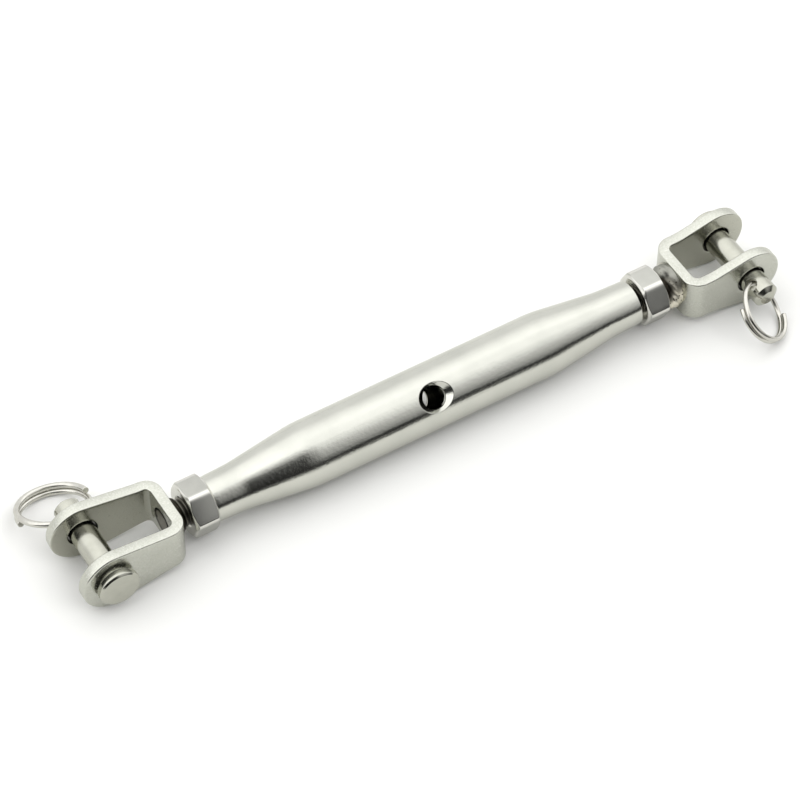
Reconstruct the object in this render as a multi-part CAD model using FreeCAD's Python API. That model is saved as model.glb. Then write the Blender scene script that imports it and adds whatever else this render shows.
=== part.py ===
"""Closed-body turnbuckle (shroud adjuster), jaw and jaw, for quarter-inch threads.

Millimetres. X runs along the barrel from the left jaw to the right jaw, Y points away from the
viewer along the clevis pins, and Z points up. The origin is where the tommy-bar hole crosses the
axis of the barrel. The fitting lies on its ears and barrel, on the plane z = -barrel_diameter / 2.

Each end is modelled once with its jaw pointing along +X and the head of its pin towards +Y. The
left end is then turned half a turn about Z, which puts its pin head on the viewer's side.
"""
import FreeCAD, Part
import math
import os

from FreeCAD import Vector

# Barrel: tube with both ends swaged to a long taper
barrel_diameter = 14.0
barrel_length = 101.1
barrel_straight_length = 53.0
barrel_end_diameter = 9.7
shoulder_radius = 35.0
neck_radius = 28.0
nose_length = 5.6
nose_angle = 2.2
barrel_rim_chamfer = 0.25
tube_wall = 2.0
tapped_length = 16.0
inner_taper_length = 8.0
mouth_chamfer = 0.5

# Tommy-bar hole through both walls of the barrel
tommy_hole_diameter = 5.0
tommy_sink_diameter = 7.8
tommy_hole_angle = 49.4

# Thread, as a plain rod of its outer diameter in plain bores
thread_diameter = 6.2
thread_clearance = 0.05
stud_tip_from_middle = 8.0
stud_tip_chamfer = 0.6

# Lock nuts
nut_across_flats = 11.0
nut_height = 5.5
nut_corner_diameter = 12.3
nut_face_share = 0.95
nut_chamfer_angle = 32.0
nut_sink_diameter = 7.0
left_nut_angle = 40.0
right_nut_angle = 34.5
left_nut_gap = 0.02
right_nut_gap = 0.95

# Jaws, bent from strip
strap_thickness = 2.4
jaw_gap = 10.5
bend_radius = 1.25
strap_base_width = 10.3
ear_radius = 7.0
left_jaw_depth = 17.1
right_jaw_depth = 15.35
left_splay_angle = 2.0
right_splay_angle = 0.4
left_neck_length = 0.5
right_neck_length = 2.5
neck_blend_radius = 14.0

# Welds between stud and jaw
left_weld_height = 1.2
left_weld_reach = 1.2
left_weld_lobes = 0
right_weld_height = 3.7
right_weld_reach = 2.1
right_weld_lobes = 3
weld_lobe_angle = 108.0
weld_root_share = 0.8
weld_top_share = 0.25
weld_lobe_place = 0.45
weld_lobe_roundness = 0.62
left_stud_show = 2.4

# Clevis pins
pin_diameter = 5.6
pin_hole_clearance = 0.35
pin_head_diameter = 8.8
pin_head_height = 1.6
pin_head_chamfer = 0.4
pin_head_play = 0.8
pin_grip_length = 22.4
pin_tail_chamfer = 1.1
pin_tail_chamfer_length = 0.8
ring_hole_diameter = 3.0
ring_hole_from_tip = 3.6

# Split rings
coil_clearance = 0.05
ring_wire_sides = 12
left_ring_wire = 1.35
left_ring_radius = 7.4
left_ring_angle = 7.0
left_ring_lift = -0.15
left_ring_shift = 1.0
right_ring_wire = 1.1
right_ring_radius = 6.4
right_ring_angle = -40.0
right_ring_lift = 0.15
right_ring_shift = -0.75

# Places worked out from the sizes above, along X from the middle of the barrel
table_z = -barrel_diameter / 2
barrel_end_x = barrel_length / 2
left_nut_x = barrel_end_x + left_nut_gap
right_nut_x = barrel_end_x + right_nut_gap
left_base_x = left_nut_x + nut_height + left_stud_show
right_base_x = right_nut_x + nut_height + right_weld_height
left_pin_x = left_base_x + left_jaw_depth
right_pin_x = right_base_x + right_jaw_depth
thread_bore_radius = thread_diameter / 2 + thread_clearance

X = Vector(1, 0, 0)
Y = Vector(0, 1, 0)
Z = Vector(0, 0, 1)
ORIGIN = Vector(0, 0, 0)


def rad(angle):
    return math.radians(angle)


def polar(centre, radius, angle):
    """Point of a circle in the XY plane, its angle in degrees from +X."""
    return centre + Vector(radius * math.cos(rad(angle)), radius * math.sin(rad(angle)), 0)


def arc(centre, radius, start, end):
    """Arc in the XY plane between two angles in degrees."""
    middle = polar(centre, radius, (start + end) / 2)
    return Part.Arc(polar(centre, radius, start), middle, polar(centre, radius, end)).toShape()


def line(start, end):
    return Part.LineSegment(start, end).toShape()


def revolved(edges):
    """Solid turned about the X axis from a closed outline in the XY plane."""
    return Part.Face(Part.Wire(Part.__sortEdges__(edges))).revolve(ORIGIN, X, 360)


def polygon_edges(points):
    return [line(a, b) for a, b in zip(points, points[1:] + points[:1])]


def turned_to_left(shape):
    """Half a turn about Z, from the right end to the left end."""
    turned = shape.copy()
    turned.rotate(ORIGIN, Z, 180)
    return turned


def taper_run_out(taper_angle):
    """How far the barrel's outline runs along X and drops, from the tube's straight to the nose.

    The drop that shoulder and neck leave over is made up by a straight taper at this angle. The
    nose then drops by its own slight angle to the rim.
    """
    steep, slight = rad(taper_angle), rad(nose_angle)
    curve_run = shoulder_radius * math.sin(steep) + neck_radius * (math.sin(steep) - math.sin(slight))
    curve_drop = (shoulder_radius * (1 - math.cos(steep))
                  + neck_radius * (math.cos(slight) - math.cos(steep)))
    nose_drop = nose_length * math.tan(slight)
    drop = (barrel_diameter - barrel_end_diameter) / 2 - nose_drop
    straight_drop = drop - curve_drop
    return curve_run + straight_drop / math.tan(steep), straight_drop


def solved_taper_angle():
    """Taper angle at which shoulder, taper and neck end where the nose begins.

    A steeper taper is shorter, up to the angle that leaves no straight between the curves, so
    the angle is halved in on between the nose's and that one.
    """
    run = (barrel_length - barrel_straight_length) / 2 - nose_length
    slight = rad(nose_angle)
    drop = (barrel_diameter - barrel_end_diameter) / 2 - nose_length * math.tan(slight)
    steepest = (shoulder_radius + neck_radius * math.cos(slight) - drop) / (shoulder_radius + neck_radius)
    low, high = nose_angle, math.degrees(math.acos(steepest))
    for _ in range(60):
        angle = (low + high) / 2
        if taper_run_out(angle)[0] > run:
            low = angle
        else:
            high = angle
    return high


def barrel_half_outline():
    """Outer edges of the barrel from its middle to its right rim.

    Straight tube, a convex shoulder, a straight taper, a concave neck, and a nose that tapers
    slightly to the rim's chamfer.
    """
    taper_angle = solved_taper_angle()
    tube_radius = barrel_diameter / 2
    end_radius = barrel_end_diameter / 2
    straight_end = Vector(barrel_straight_length / 2, tube_radius, 0)
    shoulder_centre = straight_end - Vector(0, shoulder_radius, 0)
    shoulder = arc(shoulder_centre, shoulder_radius, 90, 90 - taper_angle)
    taper_start = polar(shoulder_centre, shoulder_radius, 90 - taper_angle)
    straight_drop = taper_run_out(taper_angle)[1]
    taper_end = taper_start + Vector(straight_drop / math.tan(rad(taper_angle)), -straight_drop, 0)
    neck_centre = polar(taper_end, neck_radius, 90 - taper_angle)
    neck = arc(neck_centre, neck_radius, 270 - taper_angle, 270 - nose_angle)
    nose_start = polar(neck_centre, neck_radius, 270 - nose_angle)
    nose_end = Vector(barrel_end_x - barrel_rim_chamfer,
                      end_radius + barrel_rim_chamfer * math.tan(rad(nose_angle)), 0)
    rim = Vector(barrel_end_x, end_radius - barrel_rim_chamfer, 0)
    return [line(Vector(0, tube_radius, 0), straight_end), shoulder, line(taper_start, taper_end),
            neck, line(nose_start, nose_end), line(nose_end, rim)]


def barrel():
    """Swaged tube with tapped ends and a countersunk hole through both walls."""
    inner_radius = barrel_diameter / 2 - tube_wall
    tapped_x = barrel_end_x - tapped_length
    cone_x = tapped_x - inner_taper_length
    rim = Vector(barrel_end_x, barrel_end_diameter / 2 - barrel_rim_chamfer, 0)
    inside = [Vector(barrel_end_x, thread_bore_radius + mouth_chamfer, 0),
              Vector(barrel_end_x - mouth_chamfer, thread_bore_radius, 0),
              Vector(tapped_x, thread_bore_radius, 0),
              Vector(cone_x, inner_radius, 0),
              Vector(0, inner_radius, 0)]
    path = [rim] + inside + [Vector(0, barrel_diameter / 2, 0)]
    outline = barrel_half_outline() + [line(a, b) for a, b in zip(path, path[1:])]
    half = revolved(outline)
    body = half.fuse(turned_to_left(half)).removeSplitter()
    reach = barrel_diameter / 2
    hole_radius = tommy_hole_diameter / 2
    sink_depth = (tommy_sink_diameter - tommy_hole_diameter) / 2
    hole_axis = Vector(0, -math.cos(rad(tommy_hole_angle)), math.sin(rad(tommy_hole_angle)))
    body = body.cut(Part.makeCylinder(hole_radius, 4 * reach, hole_axis * (-2 * reach), hole_axis))
    for way in (hole_axis, -hole_axis):
        start = way * (reach - sink_depth)
        cone = Part.makeCone(hole_radius, hole_radius + 2 * sink_depth, 2 * sink_depth, start, way)
        body = body.cut(cone)
    return body


def threaded_stud(base_x):
    """Rod from inside the jaw's base to its chamfered tip in the barrel."""
    radius = thread_diameter / 2
    inner_x = base_x + strap_thickness
    points = [Vector(stud_tip_from_middle, 0, 0),
              Vector(stud_tip_from_middle, radius - stud_tip_chamfer, 0),
              Vector(stud_tip_from_middle + stud_tip_chamfer, radius, 0),
              Vector(inner_x, radius, 0),
              Vector(inner_x, 0, 0)]
    return revolved(polygon_edges(points))


def lock_nut(near_x, angle):
    """Hexagon nut, chamfered on both faces; angle lifts one flat from the viewer's side."""
    corner_radius = nut_across_flats / math.sqrt(3)
    corners = []
    for k in range(6):
        turn = rad(angle + 30 + 60 * k)
        corners.append(Vector(near_x, -corner_radius * math.cos(turn), corner_radius * math.sin(turn)))
    prism = Part.Face(Part.makePolygon(corners + corners[:1])).extrude(X * nut_height)
    face_radius = nut_across_flats / 2 * nut_face_share
    rim_radius = nut_corner_diameter / 2
    chamfer = (rim_radius - face_radius) * math.tan(rad(nut_chamfer_angle))
    far_x = near_x + nut_height
    bore = thread_bore_radius
    sink = nut_sink_diameter / 2 - bore
    turned = revolved(polygon_edges([
        Vector(near_x, bore + sink, 0), Vector(near_x, face_radius, 0),
        Vector(near_x + chamfer, rim_radius, 0), Vector(far_x - chamfer, rim_radius, 0),
        Vector(far_x, face_radius, 0), Vector(far_x, bore + sink, 0),
        Vector(far_x - sink, bore, 0), Vector(near_x + sink, bore, 0)]))
    return prism.common(turned)


def strap_section(base_x, leg_length, splay):
    """The bent U seen from above, its legs splayed outwards by a few degrees."""
    outer_bend = bend_radius + strap_thickness
    bend_centre = Vector(base_x + outer_bend, jaw_gap / 2 - bend_radius, 0)
    leg_way = Vector(math.cos(rad(splay)), math.sin(rad(splay)), 0)
    upper = []
    tips = []
    for radius in (bend_radius, outer_bend):
        web_end = polar(bend_centre, radius, 180)
        bend_end = polar(bend_centre, radius, 90 + splay)
        tips.append(bend_end + leg_way * leg_length)
        upper.append(line(Vector(web_end.x, 0, 0), web_end))
        upper.append(arc(bend_centre, radius, 180, 90 + splay))
        upper.append(line(bend_end, tips[-1]))
    upper.append(line(*tips))
    lower = [edge.mirror(ORIGIN, Y) for edge in upper]
    return Part.Face(Part.Wire(Part.__sortEdges__(upper + lower)))


def strap_outline(base_x, pin_x, neck_length):
    """The jaw seen from the side: straight neck, blended flare, and a round ear about the pin."""
    half_width = strap_base_width / 2
    neck_x = base_x + bend_radius + strap_thickness + neck_length
    to_ear = math.hypot(pin_x - neck_x, half_width)
    slope = math.asin(ear_radius / to_ear) - math.atan2(half_width, pin_x - neck_x)
    blend = neck_blend_radius * math.tan(slope / 2)
    start = Vector(base_x, half_width, 0)
    blend_start = Vector(neck_x - blend, half_width, 0)
    blend_centre = blend_start + Vector(0, neck_blend_radius, 0)
    slope_angle = math.degrees(slope)
    flare_start = polar(blend_centre, neck_blend_radius, 270 + slope_angle)
    centre = Vector(pin_x, 0, 0)
    flare_end = polar(centre, ear_radius, 90 + slope_angle)
    tip = polar(centre, ear_radius, 0)
    upper = [line(start, blend_start),
             arc(blend_centre, neck_blend_radius, 270, 270 + slope_angle),
             line(flare_start, flare_end),
             Part.Arc(flare_end, polar(centre, ear_radius, 45 + slope_angle / 2), tip).toShape()]
    lower = [edge.mirror(ORIGIN, Y) for edge in upper]
    base = line(start, Vector(base_x, -half_width, 0))
    face = Part.Face(Part.Wire(Part.__sortEdges__(upper + lower + [base])))
    face.rotate(ORIGIN, X, 90)
    return face


def fork_strap(base_x, pin_x, neck_length, splay):
    """Jaw: the bent U trimmed to its side outline, edges broken, drilled for stud and pin."""
    leg_length = pin_x + 2 * ear_radius - base_x
    section = strap_section(base_x, leg_length, splay)
    section.translate(Vector(0, 0, -2 * ear_radius))
    half_span = jaw_gap / 2 + strap_thickness + leg_length * math.tan(rad(splay)) + 1
    outline = strap_outline(base_x, pin_x, neck_length)
    outline.translate(Vector(0, half_span, 0))
    blank = section.extrude(Z * 4 * ear_radius).common(outline.extrude(Y * -2 * half_span))
    blank = blank.removeSplitter().Solids[0]
    stud_bore = Part.makeCylinder(thread_bore_radius, 4 * strap_thickness,
                                  Vector(base_x - strap_thickness, 0, 0), X)
    pin_bore = Part.makeCylinder(pin_diameter / 2 + pin_hole_clearance, 2 * half_span,
                                 Vector(pin_x, -half_span, 0), Y)
    return blank.cut(stud_bore).cut(pin_bore)


def weld_bead(base_x, height, reach, lobes):
    """Fillet weld round the stud on the base's outer face, swollen into overlapping lobes."""
    bore = thread_bore_radius
    top_x = base_x - height
    bead = revolved(polygon_edges([
        Vector(base_x, bore, 0), Vector(base_x, bore + reach * weld_root_share, 0),
        Vector(top_x, bore + reach * weld_top_share, 0), Vector(top_x, bore, 0)]))
    if not lobes:
        return bead
    lobe_radius = (height * height / 4 + reach * reach) / reach * weld_lobe_roundness
    for k in range(lobes):
        turn = rad(weld_lobe_angle + 360 * k / lobes)
        ray = Vector(0, -math.cos(turn), math.sin(turn))
        lobe_centre = Vector(base_x - height * weld_lobe_place, 0, 0)
        lobe_centre += ray * (bore + reach - lobe_radius)
        bead = bead.fuse(Part.makeSphere(lobe_radius, lobe_centre))
    span = 4 * (bore + reach)
    bead = bead.common(Part.makeBox(height, span, span, Vector(top_x, -span / 2, -span / 2)))
    bead = bead.cut(Part.makeCylinder(bore, 3 * height, Vector(top_x - height, 0, 0), X))
    return bead.removeSplitter().Solids[0]


def ear_face_y(base_x, pin_x, splay):
    """How far the ear's outer face stands from the middle plane, at the pin."""
    leg = pin_x - base_x - bend_radius - strap_thickness
    return jaw_gap / 2 + leg * math.tan(rad(splay)) + strap_thickness / math.cos(rad(splay))


def ring_hole_y(ear_y):
    """Where the ring hole crosses the pin, on the tail's side."""
    return ear_y + pin_head_play - pin_grip_length + ring_hole_from_tip


def clevis_pin(pin_x, ear_y, hole_angle):
    """Headed pin along Y with a cross-drilled, chamfered tail."""
    under_head = ear_y + pin_head_play
    head_top = under_head + pin_head_height
    tip = under_head - pin_grip_length
    radius, head_radius = pin_diameter / 2, pin_head_diameter / 2
    profile = [Vector(tip, 0, 0), Vector(tip, radius - pin_tail_chamfer, 0),
               Vector(tip + pin_tail_chamfer_length, radius, 0), Vector(under_head, radius, 0),
               Vector(under_head, head_radius, 0),
               Vector(head_top - pin_head_chamfer, head_radius, 0),
               Vector(head_top, head_radius - pin_head_chamfer, 0), Vector(head_top, 0, 0)]
    pin = revolved(polygon_edges(profile))
    pin.rotate(ORIGIN, Z, 90)
    pin.translate(Vector(pin_x, 0, 0))
    hole_way = Vector(math.cos(rad(hole_angle)), 0, math.sin(rad(hole_angle)))
    hole_middle = Vector(pin_x, ring_hole_y(ear_y), 0)
    hole = Part.makeCylinder(ring_hole_diameter / 2, pin_head_diameter * 2,
                             hole_middle - hole_way * pin_head_diameter, hole_way)
    return pin.cut(hole)


def ring_place(pin_x, hole_y, angle, lean, radius, lift, shift):
    """Placement of a coil whose local +X points to the hole and local Y lies along the hole.

    Angle turns the hole about the pin, lean turns the ring down about the hole, and shift slides
    the ring along the hole. The wire's curve is centred in the hole across its far end.
    """
    hole_way = Vector(math.cos(rad(angle)), 0, math.sin(rad(angle)))
    down_way = Vector(hole_way.z, 0, -hole_way.x)
    out_way = Vector(0, -math.cos(rad(lean)), 0) + down_way * math.sin(rad(lean))
    far_chord = pin_diameter / 2 + abs(shift)
    sagitta = far_chord * far_chord / 2 / radius
    centre = Vector(pin_x, hole_y, 0) + out_way * (radius - sagitta / 2)
    centre += hole_way * shift - down_way * lift
    x_way = -out_way
    y_way = -hole_way
    z_way = x_way.cross(y_way)
    return FreeCAD.Placement(FreeCAD.Matrix(x_way.x, y_way.x, z_way.x, centre.x,
                                            x_way.y, y_way.y, z_way.y, centre.y,
                                            x_way.z, y_way.z, z_way.z, centre.z, 0, 0, 0, 1))


def coil_point(turn, radius, pitch):
    """Point of the wire's middle line, turn degrees from the strand in the hole.

    The coil is made of flat half circles, each tipped a little the other way, so that they meet
    with one tangent. Pitch is negative in a left-handed coil.
    """
    half = round(turn / 180)
    way = -1 if half % 2 else 1
    off = rad(turn - 180 * half)
    return Vector(way * math.hypot(radius, pitch / 4) * math.cos(off),
                  way * radius * math.sin(off),
                  pitch * (half / 2 + math.sin(off) / 4))


def coil(radius, wire, pitch):
    """Wire along the half circles of coil_point, half a turn at a time.

    The round wire is drawn with flats, which keeps its mesh light.
    """
    wire_turns = [rad(360 * (k + 0.5) / ring_wire_sides) for k in range(ring_wire_sides)]
    halves = []
    for half in (-1, 0, 1):
        way = -1 if half % 2 else 1
        start = coil_point(180 * half - 90, radius, pitch)
        corners = [start + Vector(0, wire / 2 * math.cos(turn), wire / 2 * math.sin(turn))
                   for turn in wire_turns]
        wire_end = Part.Face(Part.makePolygon(corners + corners[:1]))
        middle = Vector(0, 0, pitch * half / 2)
        halves.append(wire_end.revolve(middle, Vector(0, -way * pitch / 4, radius), 180))
    return halves[0].fuse(halves[1:])


def split_ring(pin_x, hole_y, angle, radius, wire, lift, shift, hand):
    """One and a half turns of round wire, leaning down until it touches the table."""
    pitch = hand * (wire + coil_clearance)
    line_turns = range(-270, 271, 3)
    high, low = 0.0, 80.0
    for _ in range(40):
        lean = (high + low) / 2
        place = ring_place(pin_x, hole_y, angle, lean, radius, lift, shift)
        lowest = min(place.multVec(coil_point(turn, radius, pitch)).z for turn in line_turns)
        if lowest - wire / 2 > table_z:
            high = lean
        else:
            low = lean
    ring = coil(radius, wire, pitch)
    ring.Placement = ring_place(pin_x, hole_y, angle, high, radius, lift, shift)
    return ring


def build():
    left_ear_y = ear_face_y(left_base_x, left_pin_x, left_splay_angle)
    right_ear_y = ear_face_y(right_base_x, right_pin_x, right_splay_angle)
    parts = {"barrel": barrel()}
    parts["left_fork_strap"] = turned_to_left(
        fork_strap(left_base_x, left_pin_x, left_neck_length, left_splay_angle))
    parts["right_fork_strap"] = fork_strap(
        right_base_x, right_pin_x, right_neck_length, right_splay_angle)
    parts["left_threaded_stud"] = turned_to_left(threaded_stud(left_base_x))
    parts["right_threaded_stud"] = threaded_stud(right_base_x)
    parts["left_weld_bead"] = turned_to_left(
        weld_bead(left_base_x, left_weld_height, left_weld_reach, left_weld_lobes))
    parts["right_weld_bead"] = weld_bead(
        right_base_x, right_weld_height, right_weld_reach, right_weld_lobes)
    parts["left_lock_nut"] = turned_to_left(lock_nut(left_nut_x, -left_nut_angle))
    parts["right_lock_nut"] = lock_nut(right_nut_x, right_nut_angle)
    parts["left_clevis_pin"] = turned_to_left(clevis_pin(left_pin_x, left_ear_y, left_ring_angle))
    parts["right_clevis_pin"] = clevis_pin(right_pin_x, right_ear_y, right_ring_angle)
    parts["left_split_ring"] = turned_to_left(split_ring(
        left_pin_x, ring_hole_y(left_ear_y), left_ring_angle, left_ring_radius, left_ring_wire,
        left_ring_lift, left_ring_shift, -1))
    parts["right_split_ring"] = split_ring(
        right_pin_x, ring_hole_y(right_ear_y), right_ring_angle, right_ring_radius, right_ring_wire,
        right_ring_lift, right_ring_shift, 1)
    return parts


os.makedirs("parts", exist_ok=True)
for name, shape in build().items():
    solid = shape.Solids[0] if len(shape.Solids) == 1 else shape
    box = solid.optimalBoundingBox(False, False)
    print(name, solid.ShapeType, solid.isValid(), round(solid.Volume, 2),
          [round(v, 2) for v in (box.XMin, box.XMax, box.YMin, box.YMax, box.ZMin, box.ZMax)])
    solid.exportStep("parts/" + name + ".step")
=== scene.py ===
"""Looks of a closed-body turnbuckle: stainless tube, threaded studs, lock nuts, strap jaws,
clevis pins and split rings, lying on a white table.

Metres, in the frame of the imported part: X along the barrel, Y along the clevis pins away from
the viewer, Z up, origin where the tommy-bar hole crosses the barrel's axis.
"""
import math

import bmesh
import bpy
import numpy as np
from mathutils import Matrix, Vector


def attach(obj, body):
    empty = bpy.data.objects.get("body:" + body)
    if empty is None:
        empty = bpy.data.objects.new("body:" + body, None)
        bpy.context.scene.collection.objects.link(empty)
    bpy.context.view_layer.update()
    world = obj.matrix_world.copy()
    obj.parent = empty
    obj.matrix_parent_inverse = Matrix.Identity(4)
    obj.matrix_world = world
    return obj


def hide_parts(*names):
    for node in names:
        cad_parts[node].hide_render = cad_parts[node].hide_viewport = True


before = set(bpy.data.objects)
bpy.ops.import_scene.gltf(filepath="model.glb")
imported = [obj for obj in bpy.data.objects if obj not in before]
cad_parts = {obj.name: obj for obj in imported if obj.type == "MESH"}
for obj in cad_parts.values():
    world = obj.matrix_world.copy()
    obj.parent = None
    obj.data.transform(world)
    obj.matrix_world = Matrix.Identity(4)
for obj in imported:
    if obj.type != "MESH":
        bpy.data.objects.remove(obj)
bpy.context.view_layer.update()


# The barrel: a seamless stainless tube, both ends swaged down to a long taper and tapped, then
# belt-polished to a soft sheen. A countersunk hole for a tommy bar goes through both walls.

mm = 0.001
tube_radius = 7.0 * mm
tube_inner_radius = 5.0 * mm
half_length = 50.55 * mm
straight_half = 26.5 * mm
end_radius = 4.85 * mm
shoulder_radius = 35.0 * mm
neck_radius = 28.0 * mm
nose_length = 5.6 * mm
nose_slope = math.radians(2.2)
rim_round = 0.25 * mm
tapped_from = 34.55 * mm
inner_taper_from = 26.55 * mm
tapped_radius = 3.15 * mm
mouth_chamfer = 0.5 * mm
mouth_depth = 6 * mm
drilled_half = 5.25 * mm
tommy_radius = 2.5 * mm
sink_radius = 3.9 * mm
tommy_angle = math.radians(49.4)


def linear(colour):
    """sRGB hex text to linear red, green, blue, alpha."""
    parts = [int(colour[k:k + 2], 16) / 255 for k in (1, 3, 5)]
    return [c / 12.92 if c <= 0.04045 else ((c + 0.055) / 1.055) ** 2.4 for c in parts] + [1.0]


def add(tree, kind, settings=None, links=None):
    """A new node of a material, its settings by attribute or input name, its links by input."""
    made = tree.nodes.new("ShaderNode" + kind)
    for key, value in (settings or {}).items():
        if isinstance(key, str) and hasattr(made, key):
            setattr(made, key, value)
        else:
            made.inputs[key].default_value = value
    for key, source in (links or {}).items():
        tree.links.new(source, made.inputs[key])
    return made


def new_material(name):
    """A node material, its tree, and the place of a point in the piece's own coordinates."""
    material = bpy.data.materials.new(name)
    material.use_nodes = True
    tree = material.node_tree
    tree.nodes.clear()
    return material, tree, add(tree, "TexCoord").outputs["Object"]


def bare_steel(tree, tint, rough, bump):
    """The end of every metal here: its tint, roughness and relief, on to the output."""
    shader = add(tree, "BsdfPrincipled", {"Metallic": 1.0},
                 {"Base Color": tint.outputs[0], "Roughness": rough.outputs[0],
                  "Normal": bump.outputs[0]})
    add(tree, "OutputMaterial", links={"Surface": shader.outputs[0]})


def grid_faces(index):
    """Quads of a grid of vertex numbers, between each row and the next, column and the next."""
    a, b = index[:-1, :-1], index[1:, :-1]
    c, d = index[1:, 1:], index[:-1, 1:]
    return np.stack([a, b, c, d], axis=-1).reshape(-1, 4)


def wrapped(index):
    """The same grid of numbers with its first column again at the end, to close it round."""
    return np.concatenate([index, index[:, :1]], axis=1)


class Surface:
    """Points and faces gathered from several grids, joined where their edges coincide."""

    def __init__(self):
        self.points = []
        self.faces = []
        self.count = 0

    def grid(self, points, closed=False):
        """Adds a grid of points, rows by columns by three, and its quads."""
        rows, cols = points.shape[:2]
        index = self.count + np.arange(rows * cols).reshape(rows, cols)
        self.points.append(points.reshape(-1, 3))
        self.count += rows * cols
        self.faces.append(grid_faces(wrapped(index) if closed else index))

    def fan(self, points):
        """Closes a loop of points by a cap of quads shrunk to its middle."""
        middle = points.mean(axis=0)
        steps = np.array([1.0, 0.5, 0.0])[:, None, None]
        self.grid(middle + (points - middle) * steps, closed=True)

    def masked(self, points, hide):
        """Adds a grid closed round by columns, without the quads that hide marks."""
        rows, cols = points.shape[:2]
        index = self.count + np.arange(rows * cols).reshape(rows, cols)
        self.points.append(points.reshape(-1, 3))
        self.count += rows * cols
        self.faces.append(grid_faces(wrapped(index))[~hide.reshape(-1)])

    def build(self, name, material, body, nodes, slot):
        """The mesh, its doubles merged and its faces outward, riding on a body for CAD nodes."""
        mesh = bpy.data.meshes.new(name)
        faces = np.concatenate(self.faces)
        mesh.from_pydata(np.concatenate(self.points), [], faces.tolist())
        work = bmesh.new()
        work.from_mesh(mesh)
        bmesh.ops.remove_doubles(work, verts=work.verts, dist=2e-7)
        bmesh.ops.dissolve_degenerate(work, edges=work.edges, dist=1e-8)
        bmesh.ops.recalc_face_normals(work, faces=work.faces)
        work.to_mesh(mesh)
        work.free()
        mesh.shade_smooth()
        mesh.materials.append(material)
        piece = bpy.data.objects.new(name, mesh)
        bpy.context.scene.collection.objects.link(piece)
        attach(piece, body)
        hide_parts(*nodes)
        return piece


def round_x(x, radius, angle):
    """Points about the X axis: x and radius by row, angle by column, turned from -Y towards +Z."""
    x, radius, angle = np.broadcast_arrays(x, radius, angle)
    return np.stack([x, -radius * np.cos(angle), radius * np.sin(angle)], axis=-1)


def hole_ring(centre_x, angle, phi, radius, height):
    """A ring round a hole that crosses the X axis: phi turns from +X, height is along the hole."""
    side = radius * np.sin(phi)
    x = centre_x + radius * np.cos(phi)
    y = -height * math.cos(angle) + side * math.sin(angle)
    z = height * math.sin(angle) + side * math.cos(angle)
    return np.stack([x, y, z], axis=-1)


def drilled_tube(surface, before, patch_half, centre_x, after, radius, hole_angle, rim, walls):
    """A surface of revolution about X with a hole through both sides.

    before and after are pairs of arrays, x and radius, up to the drilled stretch and on from it.
    The stretch itself has one radius. Round each hole, quads run from a square of the grid to
    the rim; walls lists radius and height of further rings down the hole, as functions of phi.
    """
    columns, reach, cells, crowding = 144, 16, 32, 1.6
    angle = hole_angle + np.arange(columns) * 2 * math.pi / columns
    patch_x = centre_x + np.linspace(-patch_half, patch_half, cells + 1)
    x = np.concatenate([before[0], patch_x, after[0]])
    radii = np.concatenate([before[1], np.full(cells + 1, radius), after[1]])
    points = round_x(x[:, None], radii[:, None], angle[None, :])
    first = len(before[0])
    hide = np.zeros((len(x) - 1, columns), bool)
    near = np.r_[0:reach, columns - reach:columns]
    opposite = (near + columns // 2) % columns
    for chosen in (near, opposite):
        hide[first:first + cells, chosen] = True
    surface.masked(points, hide)
    steps = np.linspace(-1, 1, cells + 1)
    edge_x = np.concatenate([steps[:-1], np.ones(cells), -steps[:-1], -np.ones(cells)])
    edge_x = edge_x * patch_half
    turn = reach * 2 * math.pi / columns
    edge_a = np.concatenate([-np.ones(cells), steps[:-1], np.ones(cells), -steps[:-1]]) * turn
    phi = np.arctan2(radius * np.sin(edge_a), edge_x)
    rim_radius = rim(phi)
    rim_x = rim_radius * np.cos(phi)
    rim_a = np.arcsin(rim_radius * np.sin(phi) / radius)
    share = (1 - (1 - np.linspace(0, 1, 9)) ** crowding)[:, None]
    for half_turn in (0.0, math.pi):
        ring_x = centre_x + edge_x + (rim_x - edge_x) * share
        ring_a = hole_angle + half_turn + edge_a + (rim_a - edge_a) * share
        surface.grid(round_x(ring_x, radius, ring_a), closed=True)
        rings = [hole_ring(centre_x, hole_angle + half_turn, phi, rim_radius,
                           np.sqrt(radius ** 2 - (rim_radius * np.sin(phi)) ** 2))]
        rings += [hole_ring(centre_x, hole_angle + half_turn, phi, *wall(phi)) for wall in walls]
        if len(rings) > 1:
            surface.grid(np.stack(rings), closed=True)


def solved_taper():
    """Slope of the taper at which shoulder, taper and neck end where the nose begins.

    Their run is two arcs and the straight that makes up the rest of the drop. It shortens as
    the slope grows, so the slope is halved in on.
    """
    run = half_length - straight_half - nose_length
    drop = tube_radius - end_radius - nose_length * math.tan(nose_slope)
    both = shoulder_radius + neck_radius
    low = nose_slope
    high = math.acos((shoulder_radius + neck_radius * math.cos(nose_slope) - drop) / both)
    for _ in range(60):
        slope = (low + high) / 2
        arcs_run = both * math.sin(slope) - neck_radius * math.sin(nose_slope)
        arcs_drop = shoulder_radius + neck_radius * math.cos(nose_slope) - both * math.cos(slope)
        if arcs_run + (drop - arcs_drop) / math.tan(slope) > run:
            low = slope
        else:
            high = slope
    return high


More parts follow.
